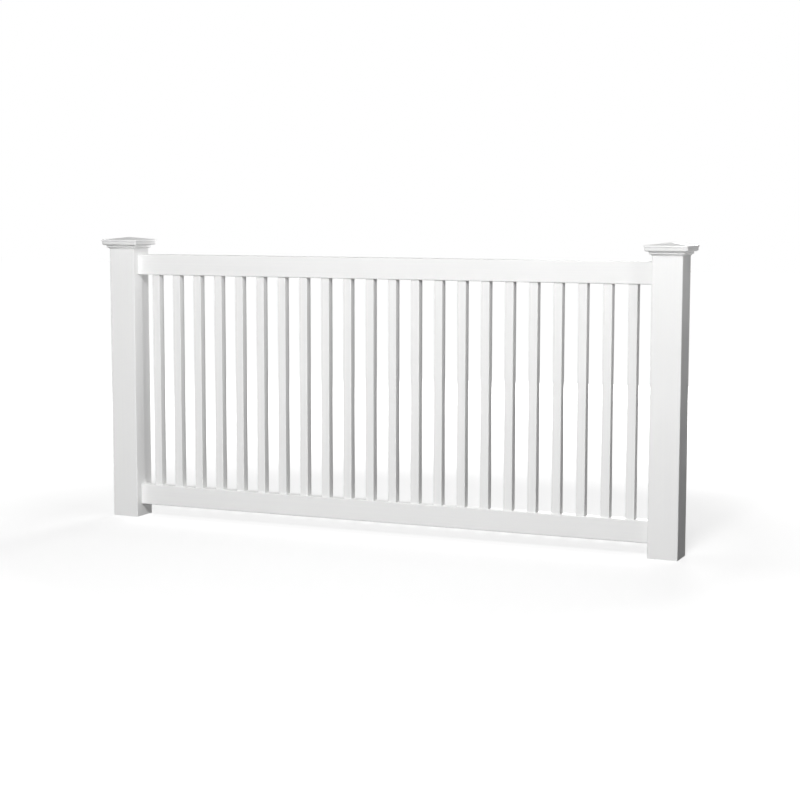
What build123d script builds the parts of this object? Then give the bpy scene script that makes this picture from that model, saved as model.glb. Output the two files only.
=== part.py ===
from build123d import *

import os
from math import sqrt

# Pool fence panel in white PVC: two square posts with moulded caps, and between them
# a top rail, a bottom rail and a row of square pickets. All sizes are in millimetres.
# The origin is the middle of the left post's foot, at ground level. +X runs along the
# fence to the right post, +Y to the back and +Z up.

# Panel
CLEAR_SPAN = 2400.0
PANEL_HEIGHT = 1200.0
GROUND_GAP = 55.0
PICKET_COUNT = 22

# Post, an extruded square tube
POST_SIZE = 127.0
POST_WALL = 3.8
POST_CORNER = 4.0
POST_ABOVE_PANEL = 43.0

# Rail, an extruded tube with a web across its middle, that runs into both posts
RAIL_DEPTH = 50.8
RAIL_HEIGHT = 92.0
RAIL_WALL = 2.8
RAIL_WEB = 2.4
RAIL_CORNER = 3.5
RAIL_IN_POST = 45.0

# Picket, an extruded square tube that stands on one rail's web and ends under the other's
PICKET_SIZE = 38.1
PICKET_WALL = 2.0
PICKET_CORNER = 2.5
PICKET_HEADROOM = 6.0

# Room around a tube in the hole routed for it
ROUTED_ROOM = 0.3

# Post cap, one moulding. Each height is that of one member, from the lower edge up.
# Each out is measured from the face of the post. A hollow or swell is the depth of an arc, and
# the draft is how far the lip's face leans in, so that it leaves the mould.
CAP_DROP = 18.0
CAP_SLIP = 0.4
CAP_WALL = 2.5
CAP_COLLAR_HEIGHT = 1.5
CAP_COVE_HEIGHT = 5.0
CAP_BAND_HEIGHT = 5.0
CAP_SCOTIA_HEIGHT = 6.5
CAP_BEAD_HEIGHT = 6.0
CAP_FASCIA_HEIGHT = 4.0
CAP_FLARE_HEIGHT = 6.5
CAP_LIP_HEIGHT = 6.5
CAP_ROOF_HEIGHT = 11.0
CAP_BAND_OUT = 8.0
CAP_BEAD_OUT = 16.5
CAP_FASCIA_OUT = 21.5
CAP_LIP_OUT = 28.5
CAP_LIP_DRAFT = 0.3
CAP_LIP_ROUND = 2.0
CAP_COVE_HOLLOW = 1.2
CAP_SCOTIA_HOLLOW = 2.2
CAP_BEAD_SWELL = 1.6
CAP_CORNER = 6.0
CAP_CORNER_ROOM = 0.1
CAP_RIB = 2.5

# Places worked out from the sizes above
POST_HEIGHT = PANEL_HEIGHT + POST_ABOVE_PANEL
POST_PITCH = CLEAR_SPAN + POST_SIZE
PANEL_START = POST_SIZE / 2
PICKET_GAP = (CLEAR_SPAN - PICKET_COUNT * PICKET_SIZE) / (PICKET_COUNT + 1)
TOP_RAIL_FLOOR = PANEL_HEIGHT - RAIL_HEIGHT
PICKET_FOOT = GROUND_GAP + (RAIL_HEIGHT + RAIL_WEB) / 2
PICKET_HEAD = TOP_RAIL_FLOOR + (RAIL_HEIGHT - RAIL_WEB) / 2 - PICKET_HEADROOM
CAP_EDGE = POST_HEIGHT - CAP_DROP


def tube(width, depth, wall, corner, length):
    """A square-cornered bore in a round-cornered bar, standing on the ground plane."""
    section = RectangleRounded(width, depth, corner)
    section -= Rectangle(width - 2 * wall, depth - 2 * wall)
    return extrude(section, length)


def routed_hole(width, depth, corner, wall):
    """The cutter for a tube's hole in one wall, centred on the wall's outer face. Its corners are flats
    that pass the tube's round corners with the same room as its sides."""
    square = Rectangle(width + 2 * ROUTED_ROOM, depth + 2 * ROUTED_ROOM)
    flat_leg = (2 - sqrt(2)) * (corner + ROUTED_ROOM)
    return extrude(chamfer(square.vertices(), flat_leg), 2 * wall, both=True)


def post():
    """A post on the origin, routed for both rails on its +X side."""
    body = tube(POST_SIZE, POST_SIZE, POST_WALL, POST_CORNER, POST_HEIGHT)
    hole = Rotation(0, 90, 0) * routed_hole(RAIL_HEIGHT, RAIL_DEPTH, RAIL_CORNER, POST_WALL)
    for rail_floor in (GROUND_GAP, TOP_RAIL_FLOOR):
        body -= Pos(POST_SIZE / 2, 0, rail_floor + RAIL_HEIGHT / 2) * hole
    return body


def picket_centre(number):
    """The distance along the fence to the middle of a picket, counted from 0."""
    return PANEL_START + PICKET_GAP + PICKET_SIZE / 2 + number * (PICKET_GAP + PICKET_SIZE)


def rail(rail_floor, picket_side):
    """A rail in place, with a row of holes in the wall (+1 upper, -1 lower) that the pickets enter."""
    start = PANEL_START - RAIL_IN_POST
    length = CLEAR_SPAN + 2 * RAIL_IN_POST
    middle = rail_floor + RAIL_HEIGHT / 2
    bar = tube(RAIL_HEIGHT, RAIL_DEPTH, RAIL_WALL, RAIL_CORNER, length)
    bar += extrude(Rectangle(RAIL_WEB, RAIL_DEPTH - RAIL_WALL), length)
    hole = routed_hole(PICKET_SIZE, PICKET_SIZE, PICKET_CORNER, RAIL_WALL)
    wall_face = middle + picket_side * RAIL_HEIGHT / 2
    holes = [Pos(picket_centre(number), 0, wall_face) * hole for number in range(PICKET_COUNT)]
    return Pos(start, 0, middle) * Rotation(0, 90, 0) * bar - holes


def picket(number):
    """A picket that stands on the web of the bottom rail and ends just under the web of the top one."""
    bar = tube(PICKET_SIZE, PICKET_SIZE, PICKET_WALL, PICKET_CORNER, PICKET_HEAD - PICKET_FOOT)
    return Pos(picket_centre(number), 0, PICKET_FOOT) * bar


def square_moulding(half_outline):
    """The solid with this half outline on all four sides: where a bar along X and one along Y cross."""
    half = make_face(half_outline)
    outline = half + mirror(half, Plane.YZ)
    reach = POST_SIZE + 2 * CAP_LIP_OUT
    along_y = extrude(Plane.XZ * outline, reach, both=True)
    return along_y & (Rotation(0, 0, 90) * along_y)


def cap_outside():
    """Half the cap's section, from the foot of the collar to the peak of the roof."""
    face = POST_SIZE / 2
    collar_low = (face + CAP_SLIP + CAP_WALL, 0)
    collar_high = (collar_low[0], CAP_COLLAR_HEIGHT)
    band_low = (face + CAP_BAND_OUT, collar_high[1] + CAP_COVE_HEIGHT)
    band_high = (band_low[0], band_low[1] + CAP_BAND_HEIGHT)
    bead_low = (face + CAP_BEAD_OUT, band_high[1] + CAP_SCOTIA_HEIGHT)
    fascia_low = (face + CAP_FASCIA_OUT, bead_low[1] + CAP_BEAD_HEIGHT)
    fascia_high = (fascia_low[0], fascia_low[1] + CAP_FASCIA_HEIGHT)
    lip_low = (face + CAP_LIP_OUT, fascia_high[1] + CAP_FLARE_HEIGHT)
    lip_side = (lip_low[0] - CAP_LIP_DRAFT, lip_low[1] + CAP_LIP_HEIGHT - CAP_LIP_ROUND)
    lip_high = (lip_side[0] - CAP_LIP_ROUND, lip_side[1] + CAP_LIP_ROUND)
    peak = (0, lip_high[1] + CAP_ROOF_HEIGHT)
    half = Polyline((0, 0), collar_low, collar_high)
    half += SagittaArc(collar_high, band_low, CAP_COVE_HOLLOW)
    half += Line(band_low, band_high)
    half += SagittaArc(band_high, bead_low, CAP_SCOTIA_HOLLOW)
    half += SagittaArc(bead_low, fascia_low, -CAP_BEAD_SWELL)
    half += Line(fascia_low, fascia_high)
    half += TangentArc(fascia_high, lip_low, tangent=(0, 1))
    half += Line(lip_low, lip_side)
    half += TangentArc(lip_side, lip_high, tangent=(0, 1))
    half += Polyline(lip_high, peak, (0, 0))
    return half


def cap_inside():
    """Half the section of the cap's hollow: a sleeve for the post, and the room under the edge and roof."""
    face = POST_SIZE / 2
    sleeve_low = (face + CAP_SLIP, 0)
    sleeve_high = (sleeve_low[0], CAP_COLLAR_HEIGHT + CAP_COVE_HEIGHT + CAP_BAND_HEIGHT + CAP_WALL)
    bead_low = (face + CAP_BEAD_OUT - CAP_WALL, sleeve_high[1] + CAP_SCOTIA_HEIGHT)
    fascia_low = (face + CAP_FASCIA_OUT - CAP_WALL, bead_low[1] + CAP_BEAD_HEIGHT)
    fascia_high = (fascia_low[0], fascia_low[1] + CAP_FASCIA_HEIGHT)
    lip_rise = CAP_FLARE_HEIGHT + CAP_LIP_HEIGHT - 2 * CAP_WALL
    lip_high = (face + CAP_LIP_OUT - CAP_LIP_DRAFT - CAP_LIP_ROUND - CAP_WALL, fascia_high[1] + lip_rise)
    peak = (0, lip_high[1] + CAP_ROOF_HEIGHT)
    return Polyline((0, 0), sleeve_low, sleeve_high, bead_low, fascia_low, fascia_high, lip_high, peak, (0, 0))


def cap():
    """A post cap on the ground plane: a hollow moulding, with two crossed ribs that sit on the post's top.
    The column that rounds the lip's corners stands just outside the lip, so that its flats cut nothing."""
    width = POST_SIZE + 2 * CAP_LIP_OUT
    column_width = width + 2 * CAP_CORNER_ROOM
    rounded_column = extrude(RectangleRounded(column_width, column_width, CAP_CORNER), width)
    outside = square_moulding(cap_outside()) & rounded_column
    inside = square_moulding(cap_inside())
    rib = Pos(0, 0, CAP_DROP) * extrude(Rectangle(width, CAP_RIB), width)
    ribs = rib + Rotation(0, 0, 90) * rib
    return outside - inside + (ribs & inside)


def nodes():
    """Every piece of the fence in its place, by name. The right post is the left one turned about."""
    turned_about = Pos(POST_PITCH, 0, 0) * Rotation(0, 0, 180)
    pieces = {
        "left_post": post(),
        "right_post": turned_about * post(),
        "left_post_cap": Pos(0, 0, CAP_EDGE) * cap(),
        "right_post_cap": turned_about * Pos(0, 0, CAP_EDGE) * cap(),
        "bottom_rail": rail(GROUND_GAP, 1),
        "top_rail": rail(TOP_RAIL_FLOOR, -1),
    }
    for number in range(PICKET_COUNT):
        pieces[f"picket_{number + 1:02d}"] = picket(number)
    return pieces


if __name__ == "__main__":
    os.makedirs("parts", exist_ok=True)
    for name, piece in nodes().items():
        export_step(piece, f"parts/{name}.step")
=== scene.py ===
from math import radians

import bpy
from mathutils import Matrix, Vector


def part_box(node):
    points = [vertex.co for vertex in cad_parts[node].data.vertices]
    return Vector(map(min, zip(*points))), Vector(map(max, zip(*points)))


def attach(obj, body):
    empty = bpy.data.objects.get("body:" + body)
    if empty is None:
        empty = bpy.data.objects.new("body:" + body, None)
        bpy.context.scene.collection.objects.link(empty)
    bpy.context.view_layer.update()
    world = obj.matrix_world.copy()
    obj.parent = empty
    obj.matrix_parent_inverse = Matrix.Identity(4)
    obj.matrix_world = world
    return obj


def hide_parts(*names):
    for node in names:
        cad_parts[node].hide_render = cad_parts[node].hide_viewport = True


# A white PVC pool fence panel: posts, rails and pickets stay as the frame has them, and
# both post caps are modelled here. Lengths are in metres, angles in degrees, and +Z is up.

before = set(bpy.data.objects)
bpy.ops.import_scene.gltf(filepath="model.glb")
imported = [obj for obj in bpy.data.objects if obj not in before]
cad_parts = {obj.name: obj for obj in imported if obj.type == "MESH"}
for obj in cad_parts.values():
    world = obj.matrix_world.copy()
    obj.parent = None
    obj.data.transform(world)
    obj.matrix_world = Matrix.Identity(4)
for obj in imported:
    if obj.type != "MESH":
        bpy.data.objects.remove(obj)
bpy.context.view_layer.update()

# Post cap. Each height is that of one member, from the lower edge up. Each out is measured
# from the face of the post, and a hollow or swell is the depth of a curve.
POST_SIZE = 0.127
CAP_SLIP = 0.0004
CAP_WALL = 0.0025
COLLAR_HEIGHT = 0.0024
COVE_HEIGHT = 0.0042
BAND_HEIGHT = 0.0042
SCOTIA_HEIGHT = 0.0052
BEAD_HEIGHT = 0.006
FASCIA_HEIGHT = 0.0105
FLARE_HEIGHT = 0.002
LIP_HEIGHT = 0.0065
ROOF_HEIGHT = 0.011
BAND_OUT = 0.011
BEAD_OUT = 0.0172
FASCIA_OUT = 0.0254
LIP_OUT = 0.0285
LIP_DRAFT = 0.0003
LIP_ROUND = 0.002
COVE_HOLLOW = 0.0005
SCOTIA_HOLLOW = 0.003
BEAD_SWELL = 0.0016
FLARE_HOLLOW = 0.0008
LIP_SWELL = 0.0005
PEAK_FLAT = 0.004
CORNER_ROUND = 0.0055
CORNER_STEPS = 5
CURVE_STEPS = 8
ARRIS_ROUND = 0.0006
ARRIS_STEPS = 2
ARRIS_ANGLE = 28.0
SMOOTH_ANGLE = 35.0
MERGE_DISTANCE = 0.00001

# PVC finishes. A colour or a roughness drifts between the two values given.
UP_AXIS = 2
FENCE_AXIS = 0
DIE_LINE_WIDTH = 0.004
DIE_LINE_LENGTH = 0.9
DIE_LINE_DETAIL = 3.0
DIE_LINE_DEPTH = 0.00002
DIE_LINE_STRENGTH = 0.4
RIPPLE_WIDTH = 0.16
RIPPLE_DETAIL = 2.0
EXTRUDED_COLOURS = ("#F0F0F0", "#F5F5F4")
EXTRUDED_ROUGHNESS = (0.54, 0.64)
PEEL_WIDTH = 0.0015
PEEL_DETAIL = 2.0
PEEL_DEPTH = 0.00002
PEEL_STRENGTH = 0.3
FLOW_WIDTH = 0.16
FLOW_DETAIL = 3.0
MOULDED_COLOURS = ("#F2F2F2", "#F7F7F6")
MOULDED_ROUGHNESS = (0.42, 0.50)
PVC_IOR = 1.54
NOISE_RANGE = (0.3, 0.7)

# Studio
CAMERA_PLACE = (4.34344, -6.94594, 1.43102)
CAMERA_TURN = (83.66, -0.06, 23.35)
CAMERA_LENS_MM = 79.678
SENSOR_MM = 36.0
PANEL_MIDDLE = (1.26, 0.0, 0.6)
SOFT_BOX_SIZE = 1.8
EVEN_SPREAD = 180.0
KEY_LAMP_PLACE = (3.1, -6.2, 5.5)
KEY_LAMP_WATTS = 374.0
FILL_LAMP_PLACE = (1.8, -6.6, 0.9)
FILL_LAMP_WATTS = 135.0
LEFT_LAMP_PLACE = (-1.0, -5.5, 0.8)
LEFT_LAMP_WATTS = 8.0
LEFT_LAMP_AIM = (0.3, 0.0, 0.1)
LEFT_LAMP_SIZE = 1.6
LEFT_LAMP_SPREAD = 90.0
SIDE_LAMP_PLACE = (8.0, -2.5, 2.6)
SIDE_LAMP_WATTS = 10.4
SIDE_LAMP_AIM = (1.3, 0.0, 2.3)
SIDE_LAMP_SIZE = 1.4
SIDE_LAMP_SPREAD = 40.0
BACK_LAMP_PLACE = (0.6, 6.5, 1.4)
BACK_LAMP_WATTS = 360.0
STUDIO_WHITE = "#FFFFFF"
ROOM_LEVEL = 0.01
FLOOR_SIZE = 60.0
FLOOR_MIDDLE = (1.26, 0.0, 0.0)
FLOOR_SHADE_REACH = (1.6, 3.2)
FLOOR_SHADE_LEVEL = 0.67
FLOOR_SHADOW_SHARE = 0.5
FLOOR_BOUNCE_COLOUR = "#404040"


def linear(hex_colour):
    """The linear colour of an sRGB hex value."""
    shares = [int(hex_colour[at:at + 2], 16) / 255 for at in (1, 3, 5)]
    return [s / 12.92 if s <= 0.04045 else ((s + 0.055) / 1.055) ** 2.4 for s in shares] + [1.0]


def add_node(tree, kind, inputs, **settings):
    """Adds a node. An input is a plain value, or another node's output to link."""
    node = tree.nodes.new(kind)
    for name, value in settings.items():
        setattr(node, name, value)
    for name, value in inputs.items():
        if isinstance(value, bpy.types.NodeSocket):
            tree.links.new(value, node.inputs[name])
        else:
            node.inputs[name].default_value = value
    return node


def new_material(name):
    """An empty material and its node tree."""
    material = bpy.data.materials.new(name)
    material.use_nodes = True
    material.node_tree.nodes.clear()
    return material, material.node_tree


def noise(tree, place, width, detail):
    """A noise pattern with patches of about this width."""
    pattern = add_node(tree, "ShaderNodeTexNoise", {"Vector": place, "Scale": 1 / width, "Detail": detail})
    return pattern.outputs["Fac"]


def pvc_skin(tree, tint_pattern, colours, gloss_pattern, roughness, relief):
    """The outer skin of rigid PVC. One pattern leads its colour, and one its roughness."""
    tint = add_node(tree, "ShaderNodeMix",
                    {"Factor": tint_pattern, "A": linear(colours[0]), "B": linear(colours[1])},
                    data_type="RGBA")
    gloss = add_node(tree, "ShaderNodeMapRange",
                     {"Value": gloss_pattern, "From Min": NOISE_RANGE[0], "From Max": NOISE_RANGE[1],
                      "To Min": roughness[0], "To Max": roughness[1]})
    skin = add_node(tree, "ShaderNodeBsdfPrincipled",
                    {"Base Color": tint.outputs["Result"], "Roughness": gloss.outputs["Result"],
                     "IOR": PVC_IOR, "Normal": relief.outputs["Normal"]})
    add_node(tree, "ShaderNodeOutputMaterial", {"Surface": skin.outputs["BSDF"]})


def extruded_pvc(name, length_axis):
    """Rigid PVC pushed through a die: an even white with a satin skin. The die leaves faint lines
    along the length, and the skin ripples a little as it cools, so long faces catch the light
    unevenly. Real die lines are under a millimetre apart, and are drawn wider so that they show."""
    material, tree = new_material(name)
    place = add_node(tree, "ShaderNodeTexCoord", {}).outputs["Object"]
    stretch = [1.0, 1.0, 1.0]
    stretch[length_axis] = DIE_LINE_WIDTH / DIE_LINE_LENGTH
    along = add_node(tree, "ShaderNodeMapping", {"Vector": place, "Scale": stretch})
    lines = noise(tree, along.outputs["Vector"], DIE_LINE_WIDTH, DIE_LINE_DETAIL)
    ripple = noise(tree, place, RIPPLE_WIDTH, RIPPLE_DETAIL)
    relief = add_node(tree, "ShaderNodeBump",
                      {"Height": lines, "Strength": DIE_LINE_STRENGTH, "Distance": DIE_LINE_DEPTH})
    pvc_skin(tree, lines, EXTRUDED_COLOURS, ripple, EXTRUDED_ROUGHNESS, relief)
    return material


def moulded_pvc():
    """Rigid PVC moulded in a polished tool: a slightly cleaner white and glossier than the
    extrusions, with the faint orange peel of the tool. The peel is finer than this on the real cap,
    and is drawn coarser to show."""
    material, tree = new_material("moulded_pvc_semi_gloss")
    place = add_node(tree, "ShaderNodeTexCoord", {}).outputs["Object"]
    peel = noise(tree, place, PEEL_WIDTH, PEEL_DETAIL)
    flow = noise(tree, place, FLOW_WIDTH, FLOW_DETAIL)
    relief = add_node(tree, "ShaderNodeBump",
                      {"Height": peel, "Strength": PEEL_STRENGTH, "Distance": PEEL_DEPTH})
    pvc_skin(tree, flow, MOULDED_COLOURS, flow, MOULDED_ROUGHNESS, relief)
    return material


def seen_directly(tree):
    """1 for rays that show a surface itself, to the eye or in gloss or glass, and 0 for soft light."""
    path = add_node(tree, "ShaderNodeLightPath", {})
    shown = path.outputs["Is Camera Ray"]
    for ray in ("Is Glossy Ray", "Is Transmission Ray"):
        either = add_node(tree, "ShaderNodeMath", {0: shown, 1: path.outputs[ray]}, operation="MAXIMUM")
        shown = either.outputs["Value"]
    return shown


def floor_paper():
    """Pale seamless paper: white to the eye, with a faint shadow near the fence, and dull as a source
    of bounced light."""
    material, tree = new_material("seamless_floor_paper")
    place = add_node(tree, "ShaderNodeTexCoord", {})
    apart = add_node(tree, "ShaderNodeVectorMath",
                     {0: place.outputs["Object"], 1: FLOOR_MIDDLE}, operation="DISTANCE")
    level = add_node(tree, "ShaderNodeMapRange",
                     {"Value": apart.outputs["Value"], "From Min": FLOOR_SHADE_REACH[0],
                      "From Max": FLOOR_SHADE_REACH[1], "To Min": FLOOR_SHADE_LEVEL, "To Max": 1.0})
    white = add_node(tree, "ShaderNodeEmission",
                     {"Color": linear(STUDIO_WHITE), "Strength": level.outputs["Result"]})
    shaded = add_node(tree, "ShaderNodeBsdfDiffuse", {"Color": [FLOOR_SHADOW_SHARE] * 3 + [1.0]})
    bright = add_node(tree, "ShaderNodeAddShader",
                      {0: white.outputs["Emission"], 1: shaded.outputs["BSDF"]})
    dull = add_node(tree, "ShaderNodeBsdfDiffuse", {"Color": linear(FLOOR_BOUNCE_COLOUR)})
    surface = add_node(tree, "ShaderNodeMixShader",
                       {0: seen_directly(tree), 1: dull.outputs["BSDF"], 2: bright.outputs["Shader"]})
    add_node(tree, "ShaderNodeOutputMaterial", {"Surface": surface.outputs["Shader"]})
    return material


def studio_floor():
    """A wide floor of that paper at ground level."""
    bpy.ops.object.select_all(action="DESELECT")
    bpy.ops.mesh.primitive_plane_add(size=FLOOR_SIZE)
    floor = bpy.context.object
    floor.name = "floor"
    floor.data.materials.append(floor_paper())


def studio_world():
    """A white room to the eye, which gives the fence only a dim light."""
    world = bpy.data.worlds.new("studio_room")
    bpy.context.scene.world = world
    world.use_nodes = True
    tree = world.node_tree
    tree.nodes.clear()
    level = add_node(tree, "ShaderNodeMix", {"Factor": seen_directly(tree), "A": ROOM_LEVEL, "B": 1.0})
    room = add_node(tree, "ShaderNodeBackground",
                    {"Color": linear(STUDIO_WHITE), "Strength": level.outputs["Result"]})
    add_node(tree, "ShaderNodeOutputWorld", {"Surface": room.outputs["Background"]})


def soft_lamp(name, place, watts, aim=PANEL_MIDDLE, size=SOFT_BOX_SIZE, spread=EVEN_SPREAD):
    """A square soft box that points at a spot. A grid can narrow its spread."""
    lamp_data = bpy.data.lights.new(name, "AREA")
    lamp_data.size = size
    lamp_data.energy = watts
    lamp_data.spread = radians(spread)
    lamp = bpy.data.objects.new(name, lamp_data)
    lamp.location = place
    lamp.rotation_euler = (Vector(aim) - Vector(place)).to_track_quat("-Z", "Y").to_euler()
    bpy.context.scene.collection.objects.link(lamp)


def studio_lamps():
    """A high key lamp, which leaves the undersides of the mouldings dark, with a low fill. A small
    lamp lights the foot of the left post. One on the right points over the fence, so that its sides
    darken to the ground. A low one lights the back, and leaves the roofs of the caps grey."""
    soft_lamp("key_lamp", KEY_LAMP_PLACE, KEY_LAMP_WATTS)
    soft_lamp("fill_lamp", FILL_LAMP_PLACE, FILL_LAMP_WATTS)
    soft_lamp("left_lamp", LEFT_LAMP_PLACE, LEFT_LAMP_WATTS,
              LEFT_LAMP_AIM, LEFT_LAMP_SIZE, LEFT_LAMP_SPREAD)
    soft_lamp("side_lamp", SIDE_LAMP_PLACE, SIDE_LAMP_WATTS,
              SIDE_LAMP_AIM, SIDE_LAMP_SIZE, SIDE_LAMP_SPREAD)
    soft_lamp("back_lamp", BACK_LAMP_PLACE, BACK_LAMP_WATTS)


def studio_camera():
    """The camera at the photograph's viewing angle."""
    camera_data = bpy.data.cameras.new("camera")
    camera_data.sensor_width = SENSOR_MM
    camera_data.lens = CAMERA_LENS_MM
    camera = bpy.data.objects.new("camera", camera_data)
    camera.location = CAMERA_PLACE
    camera.rotation_euler = [radians(turn) for turn in CAMERA_TURN]
    bpy.context.scene.collection.objects.link(camera)
    bpy.context.scene.camera = camera


def curved(start, end, bow):
    """Points along one curved member, after its start, bowed to the left of its run."""
    run = end - start
    side = Vector((-run.y, run.x)).normalized() * bow
    shares = [(step + 1) / CURVE_STEPS for step in range(CURVE_STEPS)]
    return [start + run * share + side * 4 * share * (1 - share) for share in shares]


def cap_section():
    """The cap's section as half widths and heights above its lower edge: from the ceiling inside, down
    the sleeve that fits the post, and up the mouldings to the peak."""
    face = POST_SIZE / 2
    sleeve = face + CAP_SLIP
    collar_top = Vector((sleeve + CAP_WALL, COLLAR_HEIGHT))
    band_low = Vector((face + BAND_OUT, collar_top.y + COVE_HEIGHT))
    band_high = Vector((band_low.x, band_low.y + BAND_HEIGHT))
    bead_low = Vector((face + BEAD_OUT, band_high.y + SCOTIA_HEIGHT))
    fascia_low = Vector((face + FASCIA_OUT, bead_low.y + BEAD_HEIGHT))
    fascia_high = Vector((fascia_low.x, fascia_low.y + FASCIA_HEIGHT))
    lip_low = Vector((face + LIP_OUT, fascia_high.y + FLARE_HEIGHT))
    lip_side = Vector((lip_low.x - LIP_DRAFT, lip_low.y + LIP_HEIGHT - LIP_ROUND))
    lip_high = Vector((lip_side.x - LIP_ROUND, lip_side.y + LIP_ROUND))
    peak = Vector((PEAK_FLAT, lip_high.y + ROOF_HEIGHT))
    inner_fascia = fascia_low.x - CAP_WALL
    section = [lip_high - Vector((CAP_WALL, CAP_WALL)), Vector((inner_fascia, fascia_high.y + CAP_WALL))]
    section += [Vector((inner_fascia, fascia_low.y + CAP_WALL)), bead_low + Vector((-CAP_WALL, CAP_WALL))]
    section += [Vector((sleeve, band_high.y + CAP_WALL)), Vector((sleeve, 0))]
    section += [Vector((collar_top.x, 0)), collar_top]
    section += curved(collar_top, band_low, COVE_HOLLOW)
    section += [band_high]
    section += curved(band_high, bead_low, SCOTIA_HOLLOW)
    section += curved(bead_low, fascia_low, -BEAD_SWELL)
    section += [fascia_high]
    section += curved(fascia_high, lip_low, FLARE_HOLLOW)
    section += [lip_side]
    section += curved(lip_side, lip_high, -LIP_SWELL)
    section += [peak]
    return section


def round_sharp_edges(piece):
    """Takes the sharpness off the arrises of a moulding and shades its curves smooth."""
    arris = piece.modifiers.new("arris", "BEVEL")
    arris.width = ARRIS_ROUND
    arris.segments = ARRIS_STEPS
    arris.limit_method = "ANGLE"
    arris.angle_limit = radians(ARRIS_ANGLE)
    bpy.ops.object.modifier_apply(modifier=arris.name)
    bpy.ops.object.shade_smooth_by_angle(angle=radians(SMOOTH_ANGLE))


def model_cap(node, finish):
    """The moulding of one post cap, drawn ring by ring from a square with rounded corners."""
    low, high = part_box(node)
    foot = Vector(((low.x + high.x) / 2, (low.y + high.y) / 2, low.z))
    section = cap_section()
    bpy.ops.object.select_all(action="DESELECT")
    bpy.ops.mesh.primitive_plane_add(size=2 * section[0].x, location=foot + Vector((0, 0, section[0].y)))
    cap = bpy.context.object
    bpy.ops.object.transform_apply(location=True)
    bpy.ops.object.mode_set(mode="EDIT")
    bpy.ops.mesh.select_all(action="SELECT")
    bpy.ops.mesh.bevel(offset=CORNER_ROUND, segments=CORNER_STEPS, affect="VERTICES")
    for here, there in zip(section, section[1:]):
        spread = there.x / here.x
        bpy.ops.mesh.extrude_region_move(TRANSFORM_OT_translate={"value": (0, 0, there.y - here.y)})
        bpy.ops.transform.resize(value=(spread, spread, 1), center_override=foot)
    bpy.ops.mesh.select_all(action="SELECT")
    bpy.ops.mesh.remove_doubles(threshold=MERGE_DISTANCE)
    bpy.ops.mesh.normals_make_consistent(inside=False)
    bpy.ops.object.mode_set(mode="OBJECT")
    round_sharp_edges(cap)
    cap.data.materials.append(finish)
    return cap


def copy_along_fence(piece, shift):
    """A copy of a piece, with a mesh of its own, moved along the fence within that mesh."""
    bpy.ops.object.select_all(action="DESELECT")
    piece.select_set(True)
    bpy.context.view_layer.objects.active = piece
    bpy.ops.object.duplicate(linked=False)
    bpy.ops.transform.translate(value=(shift, 0, 0))
    bpy.ops.object.transform_apply(location=True)
    return bpy.context.object


def fit_caps(finish):
    """The two post caps. The second is a copy of the first, and each stands for its own solid."""
    left_cap = model_cap("left_post_cap", finish)
    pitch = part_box("right_post_cap")[0].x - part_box("left_post_cap")[0].x
    right_cap = copy_along_fence(left_cap, pitch)
    for cap, node in ((left_cap, "left_post_cap"), (right_cap, "right_post_cap")):
        cap.name = f"{node}_moulding"
        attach(cap, "root")
        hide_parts(node)


def dress_fence():
    """Gives each extrusion a skin whose lines run along it, and models the caps."""
    upright_pvc = extruded_pvc("extruded_pvc_upright", UP_AXIS)
    level_pvc = extruded_pvc("extruded_pvc_level", FENCE_AXIS)
    cap_pvc = moulded_pvc()
    for node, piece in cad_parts.items():
        skin = level_pvc if node.endswith("_rail") else upright_pvc
        piece.data.materials.clear()
        piece.data.materials.append(cap_pvc if node.endswith("_cap") else skin)
    fit_caps(cap_pvc)


bpy.context.scene.view_settings.view_transform = "Standard"
studio_camera()
studio_world()
studio_floor()
studio_lamps()
dress_fence()
